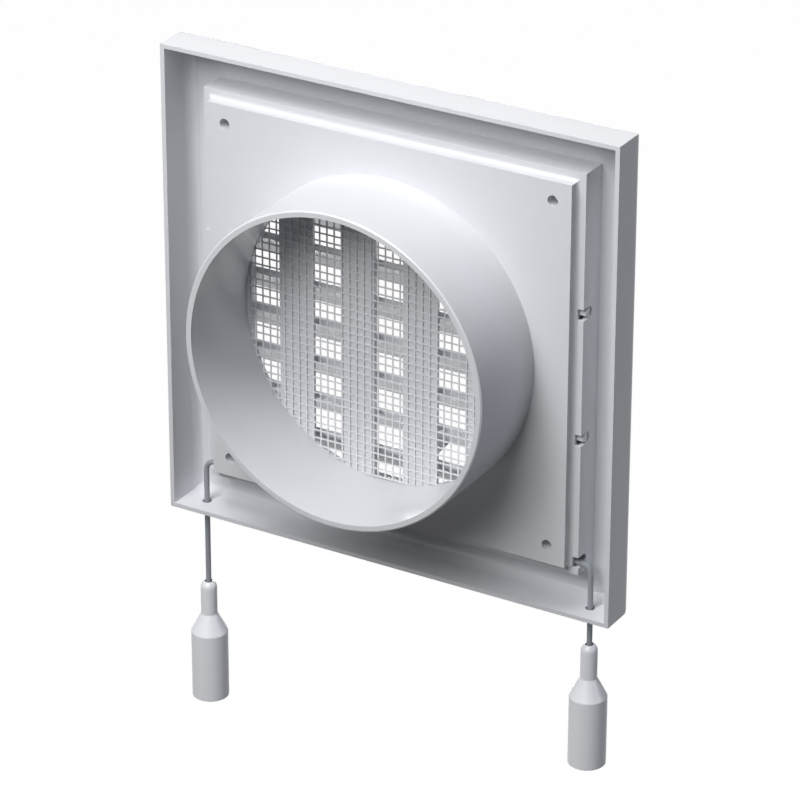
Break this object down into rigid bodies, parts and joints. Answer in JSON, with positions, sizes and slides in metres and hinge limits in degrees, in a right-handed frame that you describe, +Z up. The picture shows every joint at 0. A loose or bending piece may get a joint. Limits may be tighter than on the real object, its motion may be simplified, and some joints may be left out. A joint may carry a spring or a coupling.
{
  "type": "louvred vent grille",
  "caption": "Square louvred wall vent with a round duct spigot, insect screen and a sliding slotted shutter worked by two hanging cords with pulls.",
  "frame": {"origin": "on the axis of the duct spigot, in the wall plane, where the rear edge of the cover lies", "axes": "+Y along the spigot into the duct, -Y out of the louvred front, +Z up, +X to the right as seen from the room"},
  "size_m": [0.19, 0.0556, 0.2731],
  "materials": {
    "white_plastic": "satin",
    "screen_plastic": "satin",
    "grey_cord": "woven",
    "pull_plastic": "satin"
  },
  "bodies": {
    "vent": {"front_cover": "white_plastic", "base_body": "white_plastic", "insect_screen": "screen_plastic", "right_cord": "grey_cord", "left_cord": "grey_cord"},
    "shutter": {"shutter_plate": "white_plastic"},
    "right_pull": {"right_pull": "pull_plastic"},
    "left_pull": {"left_pull": "pull_plastic"}
  },
  "joints": [
    {"name": "shutter_slide", "type": "slide", "parent": "vent", "child": "shutter", "axis": [-1, 0, 0], "range_m": [0, 0.0132]},
    {"name": "right_pull_slide", "type": "slide", "parent": "vent", "child": "right_pull", "axis": [0, 0, 1], "range_m": [0, 0.0132], "deforming": ["right_cord"]},
    {"name": "left_pull_slide", "type": "slide", "parent": "vent", "child": "left_pull", "axis": [0, 0, -1], "range_m": [0, 0.0132], "deforming": ["left_cord"]}
  ],
  "couplings": [
    {"joint": "right_pull_slide", "follows": "shutter_slide", "ratio": 1},
    {"joint": "left_pull_slide", "follows": "shutter_slide", "ratio": 1}
  ]
}
